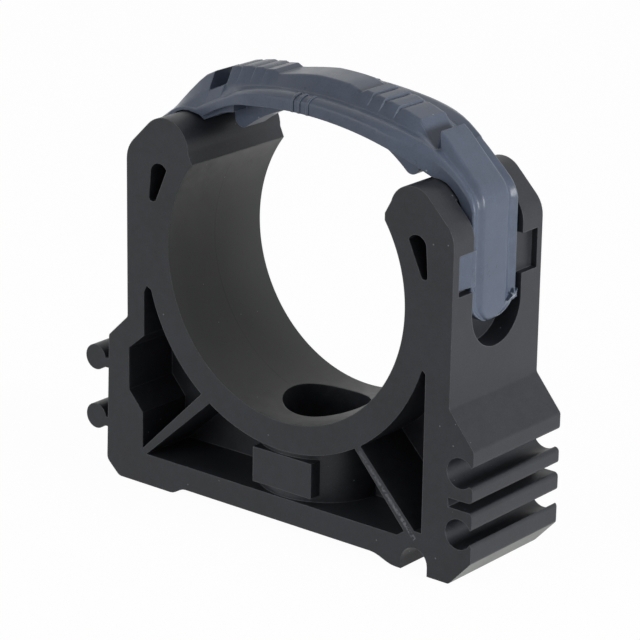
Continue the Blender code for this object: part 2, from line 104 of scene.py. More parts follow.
# Lower body
flare_width_right = 6.36 * mm
flare_width_left = 5.46 * mm
wall_draft_left = 0.8 * mm
flare_round = 1.2 * mm
corner_round = 1.0 * mm
foot_corner_round = 2.0 * mm
flare_top = 18.1 * mm
wall_right = post_half_span + flare_width_right
wall_right_top = 25.7 * mm
wall_left_upper = post_half_span + flare_width_left
wall_left_top = 23.4 * mm
wall_left_lower = wall_left_upper + wall_draft_left
pocket_floor = 48.5 * mm
floor_thickness = 7.1 * mm
foot_depth = pocket_floor + floor_thickness
chamfer_left_width = 3.5 * mm
chamfer_left_height = 3.2 * mm
chamfer_right_width = 5.3 * mm
chamfer_right_height = 5.7 * mm
relief_height = 1.65 * mm
foot_left_inner = 31.0 * mm
relief_ramp_left = 4.3 * mm
foot_right_inner = 30.7 * mm
relief_ramp_right = 6.7 * mm
groove_inner = 32.1 * mm
groove_width = 6.65 * mm
groove_depth = 5.4 * mm
groove_steps = 12

# Pockets cored from both faces, to a web at mid width
web_thickness = 2.0 * mm
post_wall_left = 4.74 * mm
side_wall_left = post_half_span - post_wall_left
lower_wall_left = 6.6 * mm
side_wall_left_low = wall_left_lower - lower_wall_left
pocket_left_tip = 9.9 * mm
pocket_left_knee = 21.4 * mm
pocket_left_belly_top = 25.1 * mm
pocket_left_belly_bottom = 34.7 * mm
pocket_left_ankle = 39.1 * mm
heel_wall_left = 10.5 * mm
pocket_left_heel_x = wall_left_lower - heel_wall_left
heel_height_left = 1.1 * mm
pocket_left_heel = pocket_floor - heel_height_left
rib_left_top_x = 22.5 * mm
rib_left_top_z = 31.1 * mm
rib_left_under_x = 20.3 * mm
rib_left_under_z = 32.7 * mm
floor_inset_left = 11.6 * mm
pocket_floor_left = wall_left_lower - floor_inset_left
floor_inset_right = 18.7 * mm
pocket_floor_right = wall_right - floor_inset_right
pocket_corner_width = 1.8 * mm
pocket_corner_right = pocket_floor_right + pocket_corner_width
pocket_corner_height = 1.3 * mm
rib_right_under_x = 19.4 * mm
rib_right_under_z = 32.4 * mm
rib_right_top_x = 20.4 * mm
rib_right_top_z = 31.1 * mm
pocket_right_tip = 11.4 * mm
post_wall_right = 6.14 * mm
side_wall_right = post_half_span - post_wall_right
heel_height_right = 2.0 * mm
pocket_right_heel = pocket_floor - heel_height_right
pocket_heel_width = 1.8 * mm
pocket_right_heel_x = side_wall_right - pocket_heel_width
pocket_tip_round = 0.8 * mm

# Bolt boss
boss_radius = 14.5 * mm
counterbore_radius = 9.4 * mm
bolt_hole_radius = 3.4 * mm
plate_width = 15.8 * mm
plate_centre = 0.2 * mm
plate_top = 38.95 * mm
plate_bottom = 46.8 * mm

# Chain of keyholes on the right, round ribs on the left
keyhole_radius = 3.25 * mm
keyhole_upper = 31.0 * mm
keyhole_lower = 44.2 * mm
keyhole_upper_mouth = 31.4 * mm
keyhole_upper_mouth_width = 4.0 * mm
keyhole_lower_mouth = 44.25 * mm
keyhole_lower_mouth_width = 2.7 * mm
relief_slot_centre = 37.9 * mm
relief_slot_width = 2.0 * mm
relief_slot_depth = 6.0 * mm
lip_round = 0.9 * mm
rib_head_radius = 2.85 * mm
rib_head_reach = 3.15 * mm
rib_upper = 29.5 * mm
rib_lower = 43.2 * mm
rib_neck_width = 2.1 * mm
rib_neck_drop = 0.65 * mm
round_steps = 44

# Strap: arched band with two rails, a raised grip block and two tabs that end in tongues. Its heights are
# measured from the arc of the rails' lower edges.
strap_width = 24.0 * mm
rail_arc_radius = 91.4 * mm
rail_clearance = 3.1 * mm
rail_crown = bore_radius + rail_clearance
rail_thickness = 3.2 * mm
rail_height_full = 3.5 * mm
block_height = 6.2 * mm
block_half_width = 4.0 * mm
tab_left_inset = 4.4 * mm
tab_left = ear_left_x - tab_left_inset
tab_left_rise = 8.9 * mm
tab_left_height = ear_left_z + ear_left_radius + tab_left_rise
tab_shoulder_inset = 2.0 * mm
tab_left_shoulder = ear_left_x - tab_shoulder_inset
tab_shoulder_rise = 7.7 * mm
tab_left_shoulder_height = ear_left_z + ear_left_radius + tab_shoulder_rise
tab_right_inset = 1.8 * mm
tab_right = ear_right_x - tab_right_inset
tab_right_rise = 8.6 * mm
tab_right_height = ear_right_z + ear_right_radius + tab_right_rise
tab_face_skew = 1.2 * mm
tab_side_share = 0.8
gap_left_width = 4.8 * mm
gap_right_width = 5.0 * mm
gap_left_heights = (3.65 * mm, 2.87 * mm)
gap_right_heights = (2.7 * mm, 1.8 * mm)
end_lean = 0.3 * mm
block_left = tab_left - gap_left_width
block_right = tab_right - gap_right_width
block_right_lean = 2.4 * mm
block_fall_left = -0.35 * mm
block_fall_right = 1.2 * mm
top_round = 0.45 * mm
foot_round = 0.6 * mm
grip_peaks = (12.1 * mm, 15.3 * mm, 18.3 * mm, 21.9 * mm)
grip_left_rise_shares = (-0.3, 0.3, 0.75, 0.75)
grip_right_rise_shares = (0.2, 0.35, 0.35, 0.45)
grip_drop = 0.5 * mm
grip_first_drop = 0.75 * mm
grip_slope = 1.2 * mm
grip_ledge = 0.15 * mm
grip_scoop = 1.0 * mm
grip_scoop_start = 1.0 * mm
underside_height = 1.9 * mm
hollow_left_inset = 13.1 * mm
hollow_left = ear_left_x - hollow_left_inset
hollow_right_inset = 8.4 * mm
hollow_right = ear_right_x - hollow_right_inset
rib_half_width = 3.0 * mm
rib_step = 0.1 * mm
rib_clearance = 1.5 * mm
rib_inner_radius = bore_radius + rib_clearance
rib_left_inset = 9.1 * mm
rib_left_end = ear_left_x - rib_left_inset
rib_right_inset = 7.5 * mm
rib_right_end = ear_right_x - rib_right_inset
rib_tip_round = 2.0 * mm
rib_root = 0.8 * mm
web_half_width = 7.2 * mm
web_inner_inset = 12.2 * mm
web_inner = ear_left_x - web_inner_inset
web_inner_rise = 8.5 * mm
web_inner_height = ear_left_z + web_inner_rise
web_knee_inset = 9.3 * mm
web_knee = ear_left_x - web_knee_inset
web_knee_rise = 7.9 * mm
web_knee_height = ear_left_z + web_knee_rise
web_outer_inset = 4.1 * mm
web_outer = ear_left_x - web_outer_inset
web_end_inset = 2.4 * mm
web_end = ear_left_x - web_end_inset
web_root = 0.4 * mm
tongue_half_width = 7.7 * mm
tongue_thickness = 3.2 * mm
tongue_recess = 0.74 * mm
tongue_end = 3.9 * mm
tongue_end_length = 5.1 * mm
bend_radius = 4.0 * mm
bend_steps = 7
tongue_steps = 5
section_steps = 4
saddle_tilts = (0, 15, 30, 45)
face_share = 0.62
lug_reach = 12.4 * mm
lug_low = 5.5 * mm
lug_high = 13.0 * mm
lug_fall = 1.2 * mm
lug_round = 0.5 * mm
lug_root = 1.2 * mm
pin_radius = 1.5 * mm
hinge_height = 13.0 * mm
seat_gap = 0.3 * mm
station_step = 2.2 * mm

# Short ribs across both rails beside the crown, at these distances from the middle
crown_rib_places = (-0.6 * mm, 1.1 * mm, 3.3 * mm)
crown_rib_height = 0.22 * mm
crown_rib_half_width = 0.3 * mm
crown_rib_start = 0.74
crown_rib_side_root = 1.2 * mm
crown_rib_side_lift = 0.3 * mm
crown_rib_top_root = 0.4 * mm
crown_rib_top_drop = 1.2 * mm

# Torn stub on the free tongue: its place across and along the post, then its ragged rim
gate_sink = 0.15 * mm
gate_y = 6.5 * mm
gate_z = 0.6 * mm
gate_depth = 0.8 * mm
gate_root_share = 1.1
gate_turn = 0.5
gate_reaches = (1.9, 0.7, 1.3, 0.6, 1.0, 0.6, 2.0, 0.8, 1.2, 0.7, 1.5, 0.6)
gate_lifts = (0.16, 0.64, 0.32, 0.8, 0.16, 0.64, 0.24, 0.8, 0.16, 0.56, 0.32, 0.64)
gate_peak = Vector((1.0, 0.2, 0.1)) * mm

# Section of the arch from its middle to each ear. Each row has the distance as a share of the ear's, then the
# half widths of edge, bead and foot as shares of the strap's, then the heights of lower edge, bead and foot
# as shares of the rail's full height.
arch_right_shares = (
    (0.00, 1.000, 0.775, 0.567, 0.00, 0.97, 0.86),
    (0.37, 1.000, 0.775, 0.567, 0.00, 0.99, 0.86),
    (0.55, 1.000, 0.775, 0.550, 0.00, 1.03, 0.88),
    (0.67, 0.985, 0.767, 0.525, -0.03, 1.04, 0.88),
    (0.76, 0.940, 0.750, 0.500, -0.11, 1.05, 0.86),
    (0.85, 0.855, 0.717, 0.467, -0.26, 1.02, 0.78),
    (0.95, 0.750, 0.667, 0.433, -0.49, 0.87, 0.66),
    (1.00, 0.700, 0.632, 0.423, -0.57, 0.78, 0.62),
)
arch_left_shares = (
    (0.00, 1.000, 0.775, 0.567, 0.00, 0.97, 0.86),
    (0.25, 1.000, 0.775, 0.567, 0.00, 0.96, 0.86),
    (0.37, 0.985, 0.767, 0.550, 0.00, 0.92, 0.86),
    (0.46, 0.945, 0.750, 0.542, 0.00, 0.84, 0.86),
    (0.52, 0.900, 0.733, 0.533, -0.03, 0.76, 0.86),
    (0.62, 0.833, 0.700, 0.525, -0.14, 0.51, 0.92),
    (0.71, 0.767, 0.667, 0.517, -0.29, 0.33, 0.86),
    (0.80, 0.708, 0.633, 0.508, -0.42, 0.18, 0.83),
    (0.865, 0.675, 0.615, 0.500, -0.60, 0.08, 0.88),
    (0.94, 0.645, 0.600, 0.500, -0.33, -0.08, 0.70),
    (1.00, 0.632, 0.590, 0.500, -0.10, 0.09, 0.59),
)

# Section over each ear and down the tongue. Each row has the turn, from 0 on top of the ear to 1 where the
# tongue hangs straight and 2 at its end, then the heights of top, foot, bead and face as shares of its
# thickness, then the half widths of edge, bead and foot as shares of its half width.
saddle_right_shares = (
    (0.000, 2.15, 1.36, 1.46, 0.94, 1.09, 0.985, 0.66),
    (0.167, 1.41, 0.90, 1.04, 0.68, 1.04, 0.935, 0.67),
    (0.333, 1.07, 0.68, 0.82, 0.54, 1.01, 0.910, 0.68),
    (0.500, 0.97, 0.62, 0.80, 0.52, 1.00, 0.905, 0.69),
    (0.750, 1.00, 0.66, 0.88, 0.62, 1.00, 0.910, 0.70),
    (1.000, 1.00, 0.71, 0.97, 0.80, 1.00, 0.930, 0.71),
    (2.000, 1.00, 0.78, 0.98, 0.84, 1.00, 0.935, 0.72),
)
saddle_left_shares = (
    (0.000, 1.80, 0.75, 0.20, 0.10, 0.985, 0.92, 0.78),
    (0.167, 1.10, 0.45, 0.23, 0.12, 0.975, 0.91, 0.77),
    (0.333, 0.74, 0.38, 0.26, 0.14, 0.960, 0.90, 0.76),
    (0.500, 0.60, 0.42, 0.32, 0.17, 0.960, 0.90, 0.75),
    (0.750, 0.81, 0.72, 0.60, 0.42, 0.980, 0.91, 0.75),
    (1.000, 1.00, 1.00, 0.97, 0.82, 1.000, 0.93, 0.75),
    (2.000, 1.00, 1.00, 0.98, 0.85, 1.000, 0.94, 0.80),
)

# Free end of the right tongue: depth, width and thickness as shares of the full ones
tongue_end_shares = (
    (0.16, 0.96, 1.0),
    (0.33, 0.87, 1.0),
    (0.53, 0.71, 1.0),
    (0.68, 0.55, 0.98),
    (0.79, 0.38, 0.92),
    (0.86, 0.2, 0.8),
)
hinge_end_angles = (25, 50, 75)

# Shared by all cuts
overrun = 2.0 * mm
skin = 0.02 * mm

# Worked out from the sizes above
half_width = body_width / 2
through = half_width + overrun
slot_floor = post_half_span - slot_depth
window_side = slot_floor - slot_wall
cradle_radius = bore_radius + cradle_wall
ear_cradle_radius = bore_radius + ear_cradle_wall
tongue_face = post_half_span - tongue_recess
tongue_back = tongue_face - tongue_thickness
pivot_x = -(tongue_face - tongue_thickness / 2)
pivot_z = hinge_height
rail_arc_centre = rail_crown - rail_arc_radius
strap_half_width = strap_width / 2
rib_reach = wall_left_lower + rib_head_reach + rib_head_radius
centre_shift = (rib_reach - wall_right) / 2


def arc(centre_x, centre_z, radius, start, end, steps):
    """Points along a circle in the XZ plane, angles in degrees from +X towards +Z."""
    points = []
    for i in range(steps + 1):
        angle = math.radians(start + (end - start) * i / steps)
        points.append((centre_x + radius * math.cos(angle), centre_z + radius * math.sin(angle)))
    return points


def finish_mesh(name, mesh_data):
    bmesh.ops.remove_doubles(mesh_data, verts=mesh_data.verts, dist=skin / 10)
    bmesh.ops.recalc_face_normals(mesh_data, faces=mesh_data.faces)
    if mesh_data.calc_volume(signed=True) < 0:
        bmesh.ops.reverse_faces(mesh_data, faces=mesh_data.faces)
    mesh = bpy.data.meshes.new(name)
    mesh_data.to_mesh(mesh)
    mesh_data.free()
    obj = bpy.data.objects.new(name, mesh)
    bpy.context.scene.collection.objects.link(obj)
    return obj


def prism(name, outline, low, high, axis="Y"):
    """Outline extruded along one axis: XZ points along Y, YZ points along X, or XY points along Z."""
    place = {
        "Y": lambda a, b, c: (a, c, b),
        "X": lambda a, b, c: (c, a, b),
        "Z": lambda a, b, c: (a, b, c),
    }[axis]
    mesh_data = bmesh.new()
    lower = [mesh_data.verts.new(place(a, b, low)) for a, b in outline]
    upper = [mesh_data.verts.new(place(a, b, high)) for a, b in outline]
    mesh_data.faces.new(lower)
    mesh_data.faces.new(list(reversed(upper)))
    for i in range(len(outline)):
        j = (i + 1) % len(outline)
        mesh_data.faces.new((lower[j], lower[i], upper[i], upper[j]))
    return finish_mesh(name, mesh_data)


def box(name, x_range, y_range, z_range):
    left, right = x_range
    low, high = z_range
    return prism(name, [(left, low), (right, low), (right, high), (left, high)], *y_range)


def cylinder(name, centre, radius, low, high, axis, steps=round_steps * 2):
    outline = arc(centre[0], centre[1], radius, 0, 360, steps)[:-1]
    return prism(name, outline, low, high, axis)


def loft(name, rings):
    """Closed solid through rings of equal point counts."""
    mesh_data = bmesh.new()
    rows = [[mesh_data.verts.new(point) for point in ring] for ring in rings]
    mesh_data.faces.new(rows[0])
    mesh_data.faces.new(list(reversed(rows[-1])))
    for first, second in zip(rows, rows[1:]):
        for i in range(len(first)):
            j = (i + 1) % len(first)
            mesh_data.faces.new((first[j], first[i], second[i], second[j]))
    bmesh.ops.triangulate(mesh_data, faces=mesh_data.faces)
    return finish_mesh(name, mesh_data)


def combine(target, tool, operation):
    """Boolean of two closed solids, kept as plain mesh on the first one."""
    modifier = target.modifiers.new(tool.name, "BOOLEAN")
    modifier.operation = operation
    modifier.object = tool
    modifier.solver = "EXACT"
    view = bpy.context.evaluated_depsgraph_get()
    view.update()
    result = bpy.data.meshes.new_from_object(target.evaluated_get(view))
    target.modifiers.clear()
    mesh_data = bmesh.new()
    mesh_data.from_mesh(result)
    bmesh.ops.remove_doubles(mesh_data, verts=mesh_data.verts, dist=skin / 10)
    bmesh.ops.dissolve_degenerate(mesh_data, edges=mesh_data.edges, dist=skin / 10)
    mesh_data.to_mesh(result)
    mesh_data.free()
    target.data = result
    bpy.data.objects.remove(tool, do_unlink=True)


def cut(target, tool):
    combine(target, tool, "DIFFERENCE")


def join(target, tool):
    combine(target, tool, "UNION")


def on_circle(radius, angle):
    return radius * math.cos(math.radians(angle)), radius * math.sin(math.radians(angle))


def flank_point(centre_x, centre_z, radius, x):
    """Point at distance x on the flank that leaves a round top at the flank angle."""
    touch_x = centre_x + radius * math.cos(math.radians(90 - flank_angle))
    touch_z = centre_z + radius * math.sin(math.radians(90 - flank_angle))
    return x, touch_z - (x - touch_x) * math.tan(math.radians(flank_angle))


def left_side(points):
    return [(-x, z) for x, z in points]


def corner(before, at, after, reach, steps):
    """Points that round one corner of a path, from a reach before it to the same reach after it."""
    start = at + (before - at).normalized() * min(reach, (before - at).length / 2)
    end = at + (after - at).normalized() * min(reach, (after - at).length / 2)
    points = []
    for i in range(steps + 1):
        share = i / steps
        points.append(start.lerp(at, share).lerp(at.lerp(end, share), share))
    return points


def rounded(points, radii):
    """Outline with some corners rounded: radii gives each point's radius, zero where it stays sharp."""
    places = [Vector(point) for point in points]
    result = []
    for i in range(len(places)):
        if radii[i] == 0:
            result.append(points[i])
            continue
        before = places[i - 1]
        after = places[(i + 1) % len(places)]
        half = (before - places[i]).angle(after - places[i]) / 2
        for point in corner(before, places[i], after, radii[i] / math.tan(half), corner_steps):
            result.append((point.x, point.y))
    return result


# Base


def right_wall_outline():
    """Right side from the flank of the post down to the foot pad."""
    touch = flank_point(ear_right_x, ear_right_z, ear_right_radius, ear_right_x + ear_right_radius)
    shoulder = flank_point(ear_right_x, ear_right_z, ear_right_radius, post_half_span)
    groove_radius = groove_width / 2
    groove_centre = groove_inner + groove_radius
    groove_top = -foot_depth + groove_depth - groove_radius
    points = [
        touch,
        shoulder,
        (post_half_span, -flare_top),
        (wall_right, -wall_right_top),
        (wall_right, -foot_depth + chamfer_right_height),
        (wall_right - chamfer_right_width, -foot_depth),
        (groove_inner + groove_width, -foot_depth),
    ]
    points = rounded(points, [0, shoulder_round, flare_round, corner_round, corner_round, corner_round, 0])
    points += arc(groove_centre, groove_top, groove_radius, 0, 180, groove_steps)
    return points + [(groove_inner, -foot_depth), (foot_right_inner, -foot_depth)]


def left_wall_outline():
    """Left side from the foot up to the flank of the post."""
    touch = flank_point(ear_left_x, ear_left_z, ear_left_radius, ear_left_x + ear_left_radius)
    shoulder = flank_point(ear_left_x, ear_left_z, ear_left_radius, post_half_span)
    points = [
        (foot_left_inner, -foot_depth),
        (wall_left_lower - chamfer_left_width, -foot_depth),
        (wall_left_lower, -foot_depth + chamfer_left_height),
        (wall_left_upper, -wall_left_top),
        (post_half_span, -flare_top),
        shoulder,
        touch,
    ]
    radii = [0, foot_corner_round, foot_corner_round, corner_round, corner_round, shoulder_round, 0]
    return left_side(rounded(points, radii))


def relief_outline():
    """Recessed underside between the feet, with a soft ramp at each end."""
    steps = groove_steps // 2
    points = []
    for i in range(steps + 1):
        share = i / steps
        rise = relief_height * (1 - math.cos(math.pi * share)) / 2
        points.append((foot_right_inner - relief_ramp_right * share, -foot_depth + rise))
    for i in range(steps + 1):
        share = i / steps
        rise = relief_height * (1 + math.cos(math.pi * share)) / 2
        points.append((-foot_left_inner + relief_ramp_left * (1 - share), -foot_depth + rise))
    return points[1:-1]


def base_outline():
    """Outline of the whole front face, clockwise from the right nose."""
    outline = [on_circle(bore_radius, mouth_angle_right)]
    nose_x = outline[0][0]
    outline.append((nose_x, outline[0][1] + nose_right_height))
    ear_right = (ear_right_x, ear_right_z, ear_right_radius)
    outline += arc(*ear_right, nose_right_angle, 90 - flank_angle, ear_arc_steps)
    outline += right_wall_outline()
    outline += relief_outline()
    outline += left_wall_outline()
    outline += arc(-ear_left_x, ear_left_z, ear_left_radius, 90 + flank_angle, 0, ear_arc_steps)
    start = 180 - mouth_angle_left
    end = 360 + mouth_angle_right
    steps = round((end - start) / bore_step_angle)
    outline += arc(0, 0, bore_radius, start, end, steps)[:-1]
    return outline


def line_meets_ring(x1, z1, x2, z2, radius):
    """Angle at which the line through two points meets a circle about the axis, on the first point's side."""
    dx = x2 - x1
    dz = z2 - z1
    a = dx * dx + dz * dz
    b = 2 * (x1 * dx + z1 * dz)
    c = x1 * x1 + z1 * z1 - radius * radius
    root = math.sqrt(max(b * b - 4 * a * c, 0))
    hits = [(-b - root) / (2 * a), (-b + root) / (2 * a)]
    t = min(hits, key=abs)
    return math.degrees(math.atan2(z1 + t * dz, x1 + t * dx))


def pocket_left():
    tip_x = -side_wall_left
    rib = (-rib_left_top_x, -rib_left_top_z, -pocket_left_heel_x, -pocket_left_heel)
    low = line_meets_ring(*rib, cradle_radius)
    high = math.degrees(math.atan2(-pocket_left_tip - pocket_tip_round, tip_x + 2 * pocket_tip_round))
    return arc(0, 0, cradle_radius, low % 360, high % 360, ear_arc_steps) + [
        (tip_x + pocket_tip_round, -pocket_left_tip),
        (tip_x, -pocket_left_tip - 2 * pocket_tip_round),
        (tip_x, -pocket_left_knee),
        (-side_wall_left_low, -pocket_left_belly_top),
        (-side_wall_left_low, -pocket_left_belly_bottom),
        (-pocket_left_heel_x, -pocket_left_ankle),
        (-pocket_left_heel_x, -pocket_left_heel),
    ]


def pocket_right():
    rib = (rib_right_top_x, -rib_right_top_z, pocket_right_heel_x, -pocket_right_heel)
    low = line_meets_ring(*rib, cradle_radius)
    high = math.degrees(math.asin(-(pocket_right_tip + pocket_tip_round) / cradle_radius))
    points = arc(0, 0, cradle_radius, low, high, ear_arc_steps)
    return [(x, z) for x, z in points if x < side_wall_right - pocket_tip_round] + [
        (side_wall_right - pocket_tip_round, -pocket_right_tip),
        (side_wall_right, -pocket_right_tip - pocket_tip_round),
        (side_wall_right, -pocket_right_heel),
        (pocket_right_heel_x, -pocket_right_heel),
    ]


def pocket_bottom():
    left = (-rib_left_under_x, -rib_left_under_z, -pocket_floor_left, -pocket_floor)
    knee = (pocket_corner_right, -pocket_floor + pocket_corner_height)
    right = (rib_right_under_x, -rib_right_under_z, *knee)
    start = line_meets_ring(*left, cradle_radius) % 360
    end = line_meets_ring(*right, cradle_radius) % 360
    points = arc(0, 0, cradle_radius, start, end, ear_arc_steps * 2)
    return points + [knee, (pocket_floor_right, -pocket_floor), (-pocket_floor_left, -pocket_floor)]


def window(side_x, top, bottom):
    """Teardrop between the cradle's wall and the slot's wall, round at the top and at its foot."""
    centre_x = side_x - window_round - window_slant
    centre_z = top - window_round
    points = arc(centre_x, centre_z, window_round, 0, window_round_angle, ear_arc_steps)
    inner_x = math.sqrt(ear_cradle_radius * ear_cradle_radius - bottom * bottom)
    foot = rounded([points[-1], (inner_x, bottom), (side_x, bottom), points[0]],
                   [0, window_foot_round, window_foot_round, 0])
    return points + foot[1:-1]


def cored(outline, name):
    """The same pocket from the front face and from the rear face."""
    front = prism(name + "_front", outline, -through, -web_thickness / 2)
    rear = prism(name + "_rear", outline, web_thickness / 2, through)
    return front, rear


def slot_outline():
    top = ear_left_z + ear_left_radius + overrun
    points = [(slot_half_width, top), (-slot_half_width, top)]
    points += arc(0, slot_bottom_centre, slot_half_width, 180, 360, round_steps)
    return points


def mouth_outline(inner_x, centre, width):
    """Slot that opens through the right wall with rounded lips."""
    high = -centre + width / 2
    low = -centre - width / 2
    points = [(inner_x, low)]
    points += arc(wall_right - lip_round, low - lip_round, lip_round, 90, 0, corner_steps)
    points += [(wall_right + overrun, low - lip_round), (wall_right + overrun, high + lip_round)]
    points += arc(wall_right - lip_round, high + lip_round, lip_round, 0, -90, corner_steps)
    points.append((inner_x, high))
    return points


def build_base():
    base = prism("base", base_outline(), -half_width, half_width)

    full = (-half_width, half_width)
    head_x = -(wall_left_lower + rib_head_reach)
    half_neck = rib_neck_width / 2
    for centre in (rib_upper, rib_lower):
        join(base, cylinder("head", (head_x, -centre), rib_head_radius, *full, "Y", round_steps))
        neck_z = -centre - rib_neck_drop
        across = (head_x, -wall_left_upper + overrun)
        join(base, box("neck", across, full, (neck_z - half_neck, neck_z + half_neck)))

    pocket_front, pocket_rear = cored(pocket_bottom(), "pocket_bottom")
    for tool in (pocket_front, pocket_rear):
        cut(tool, cylinder("boss", (0, 0), boss_radius, -foot_depth, 0, "Z"))
    across = (plate_centre - plate_width / 2, plate_centre + plate_width / 2)
    cut(pocket_front, box("plate", across, full, (-plate_bottom, -plate_top)))
    tools = cored(pocket_left(), "pocket_left") + cored(pocket_right(), "pocket_right")
    tools += (pocket_front, pocket_rear)
    tools += cored(left_side(window(window_side, window_left_top, window_left_bottom)), "window_left")
    tools += cored(window(window_side, window_right_top, window_right_bottom), "window_right")
    for tool in tools:
        cut(base, tool)

    cut(base, cylinder("counterbore", (0, 0), counterbore_radius, -pocket_floor, 0, "Z"))
    cut(base, cylinder("bolt_hole", (0, 0), bolt_hole_radius, -foot_depth - overrun, 0, "Z", round_steps))

    cut(base, prism("slot_right", slot_outline(), slot_floor, wall_right + overrun, "X"))
    cut(base, prism("slot_left", slot_outline(), -wall_right - overrun, -slot_floor, "X"))
    notches = ((notch_depth, -notch_reach_front, 0), (notch_depth_rear, 0, notch_reach_rear))
    for depth, low, high in notches:
        across = (post_half_span - depth, post_half_span + overrun)
        cut(base, box("notch", across, (low, high), (notch_low, notch_high)))
    pivot_hole = pin_radius + seat_gap
    outline = arc(pivot_x, pivot_z, pivot_hole, 90, -90, round_steps // 2)
    outline.append((-post_half_span - overrun, pivot_z - pivot_hole))
    outline.append((-post_half_span - overrun, pivot_z + pivot_hole))
    cut(base, prism("pivot_notch", outline, -notch_reach_front, notch_reach_front))

    keyholes = (
        (keyhole_upper, keyhole_upper_mouth, keyhole_upper_mouth_width),
        (keyhole_lower, keyhole_lower_mouth, keyhole_lower_mouth_width),
    )
    for centre, mouth, mouth_width in keyholes:
        centre_x = wall_right - keyhole_radius
        hole = cylinder("keyhole", (centre_x, -centre), keyhole_radius, -through, through, "Y", round_steps)
        cut(base, hole)
        cut(base, prism("mouth", mouth_outline(centre_x, mouth, mouth_width), -through, through))
    relief = mouth_outline(wall_right - relief_slot_depth, relief_slot_centre, relief_slot_width)
    cut(base, prism("relief_slot", relief, -through, through))
    return base


# Strap


def row_at(rows, place):
    """Values between the two rows of a table on either side of a place."""
    place = min(max(place, rows[0][0]), rows[-1][0])
    for first, second in zip(rows, rows[1:]):
        if place <= second[0]:
            share = (place - first[0]) / (second[0] - first[0])
            return [a + (b - a) * share for a, b in zip(first[1:], second[1:])]


def rail_height(x, offset):
    """Height of the arc that runs an offset above the rails' lower edge."""
    radius = rail_arc_radius + offset
    return rail_arc_centre + math.sqrt(radius * radius - x * x)


def grip_rise(distance, rise_shares):
    """Height that the grip teeth add at a distance from the middle. Their steep sides face the middle."""
    rise = 0
    for i, peak in enumerate(grip_peaks):
        if distance < peak - grip_slope:
            break
        rise = rise_shares[i] * grip_drop
        if distance < peak:
            drop = grip_drop if i else grip_first_drop
            rise -= drop * (peak - distance) / grip_slope
    return rise


def block_top(x):
    """Height of the grip block's top, which is scooped left of the middle."""
    left = x < 0
    distance = abs(x)
    share = distance / (block_left if left else block_right)
    height = block_height - (block_fall_left if left else block_fall_right) * share * share
    start = grip_peaks[0] - grip_slope
    if left and grip_scoop_start < distance < start:
        height -= grip_scoop * (distance - grip_scoop_start) / (start - grip_scoop_start)
    height += grip_rise(distance, grip_left_rise_shares if left else grip_right_rise_shares)
    return rail_height(x, height)


def section(top, foot, bead, face, lower):
    """Ring across the strap: flat top, side down to its foot, bead, rounded edge, face and lower edge."""
    middle = Vector((top.x, 0, top.z))
    half = corner(middle, top, foot, top_round, section_steps)
    half += corner(top, foot, bead, foot_round, section_steps)
    half += quarter(bead, face, section_steps)
    half.append(lower)
    return half + [Vector((point.x, -point.y, point.z)) for point in reversed(half)]


def quarter(start, end, steps):
    """Points on a quarter of an ellipse that leaves the start along Y and reaches the end across it."""
    points = []
    for i in range(steps + 1):
        angle = math.radians(90 * i / steps)
        across = math.sin(angle)
        down = 1 - math.cos(angle)
        way = end - start
        points.append(start + Vector((way.x * down, way.y * across, way.z * down)))
    return points


def arch_shares(x):
    """Half widths and heights of the arch's section at x."""
    if x < 0:
        return row_at(arch_left_shares, -x / ear_left_x)
    return row_at(arch_right_shares, x / ear_right_x)


def arch_ring(x, top_x=None, top_z=None, floor_height=None):
    """Section of the arch at x, with its flat top at top_x, or the floor of a gap."""
    edge, bead, foot, low, bead_high, foot_high = arch_shares(x)
    lower_z = rail_height(x, low * rail_height_full)
    bead_z = rail_height(x, bead_high * rail_height_full)
    foot_z = rail_height(x, foot_high * rail_height_full)
    if floor_height is not None:
        foot_z = rail_height(x, floor_height)
        top_z = foot_z
        top_x = x
    return section(
        Vector((top_x, block_half_width, top_z)),
        Vector((x, foot * strap_half_width, foot_z)),
        Vector((x, bead * strap_half_width, bead_z)),
        Vector((x, edge * strap_half_width, lower_z + (bead_z - lower_z) * face_share)),
        Vector((x, edge * strap_half_width, lower_z)),
    )


def saddle_ring(side, place, tilt, values, thin=1.0, narrow=1.0):
    """Section over an ear or down a tongue: it stands on a point of the underside, turned by the tilt."""
    top, foot, bead, face, edge_y, bead_y, foot_y = values
    thickness = tongue_thickness * thin
    width = tongue_half_width * narrow
    out_x = math.sin(math.radians(tilt))
    out_z = math.cos(math.radians(tilt))

    def at(high, across):
        height = high * thickness
        return Vector((side * (place[0] + out_x * height), across, place[1] + out_z * height))

    return section(
        at(top, min(block_half_width, foot_y * width * tab_side_share)),
        at(foot, foot_y * width),
        at(bead, bead_y * width),
        at(face, edge_y * width),
        at(0, edge_y * width),
    )


def saddle_rings(side, ear_x, ear_z, radius, end_z, rows):
    """Sections from the top of an ear, round the bend and down the tongue to end_z."""
    rings = []
    for tilt in saddle_tilts:
        angle = math.radians(90 - tilt)
        place = (ear_x + radius * math.cos(angle), ear_z + radius * math.sin(angle))
        rings.append(saddle_ring(side, place, tilt, row_at(rows, tilt / 90)))
    corner_z = flank_point(ear_x, ear_z, radius, tongue_back)[1]
    centre_x = tongue_back - bend_radius
    centre_z = corner_z - bend_radius * math.tan(math.radians((90 - flank_angle) / 2))
    for i in range(bend_steps + 1):
        tilt = flank_angle + (90 - flank_angle) * i / bend_steps
        angle = math.radians(90 - tilt)
        place = (centre_x + bend_radius * math.cos(angle), centre_z + bend_radius * math.sin(angle))
        rings.append(saddle_ring(side, place, tilt, row_at(rows, tilt / 90)))
    for i in range(1, tongue_steps + 1):
        share = i / tongue_steps
        place = (tongue_back, centre_z + (end_z - centre_z) * share)
        rings.append(saddle_ring(side, place, 90, row_at(rows, 1 + share)))
    return rings


